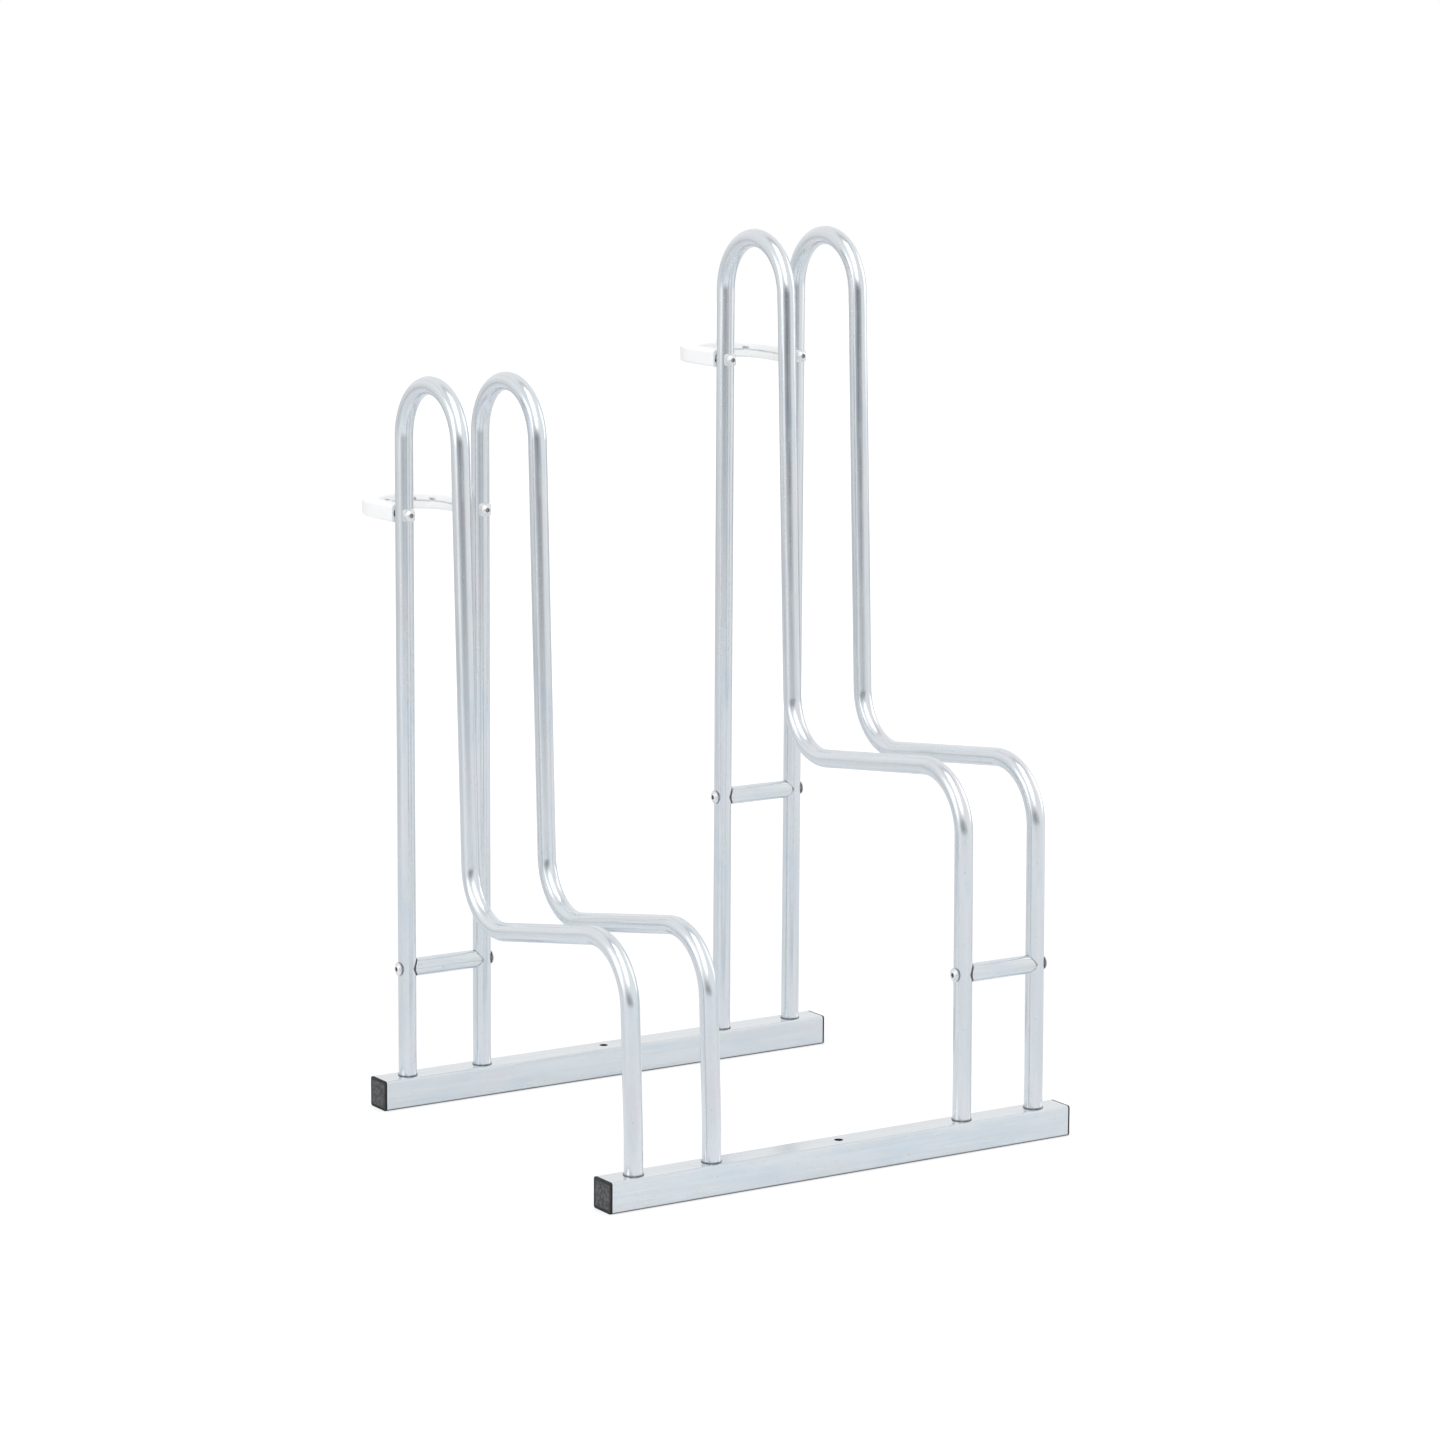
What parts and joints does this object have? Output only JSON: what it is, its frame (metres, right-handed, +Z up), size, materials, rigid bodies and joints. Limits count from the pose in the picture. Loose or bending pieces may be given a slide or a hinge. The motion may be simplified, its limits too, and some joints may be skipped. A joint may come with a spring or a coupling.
{
  "type": "floor bike rack",
  "caption": "Floor bicycle rack of bent tube hoops in a low and a tall pair on square floor bars, with moulded bows behind the hoops that take the tyre.",
  "frame": {"origin": "on the floor, midway between the anchor holes of the two bars", "axes": "+Z up, +X along the bars from the low pair to the tall pair, +Y the way the wheels roll in"},
  "size_m": [0.522, 0.5463, 0.857],
  "materials": {
    "zinc_bar": "bright zinc plating, satin, faintly bluish",
    "zinc_tube": "bright zinc plating, drawn along the tube, faintly bluish",
    "cap": "black moulded plastic",
    "bow": "white moulded plastic, half gloss",
    "screw": "bright zinc plating",
    "insert": "turned brass",
    "foot_plug": "dark steel, lightly oiled"
  },
  "bodies": {
    "root": {"front_bar": "zinc_bar", "rear_bar": "zinc_bar", "front_cap_left": "cap", "front_cap_right": "cap", "rear_cap_left": "cap", "rear_cap_right": "cap", "low_hoop_left": "zinc_tube", "low_hoop_right": "zinc_tube", "tall_hoop_left": "zinc_tube", "tall_hoop_right": "zinc_tube", "low_spacer": "zinc_tube", "tall_rear_spacer": "zinc_tube", "tall_front_spacer": "zinc_tube", "low_tyre_bow": "bow", "tall_tyre_bow": "bow", "low_spacer_screws": "screw", "tall_rear_spacer_screws": "screw", "tall_front_spacer_screws": "screw", "low_spacer_inserts": "insert", "tall_rear_spacer_inserts": "insert", "tall_front_spacer_inserts": "insert", "low_spacer_rings": "cap", "tall_rear_spacer_rings": "cap", "tall_front_spacer_rings": "cap", "low_bow_screws": "screw", "tall_bow_screws": "screw", "low_bow_inserts": "insert", "tall_bow_inserts": "insert", "low_bow_washers": "screw", "tall_bow_washers": "screw", "front_foot_plugs": "foot_plug", "rear_foot_plugs": "foot_plug", "front_foot_screws": "screw", "rear_foot_screws": "screw"}
  },
  "joints": []
}
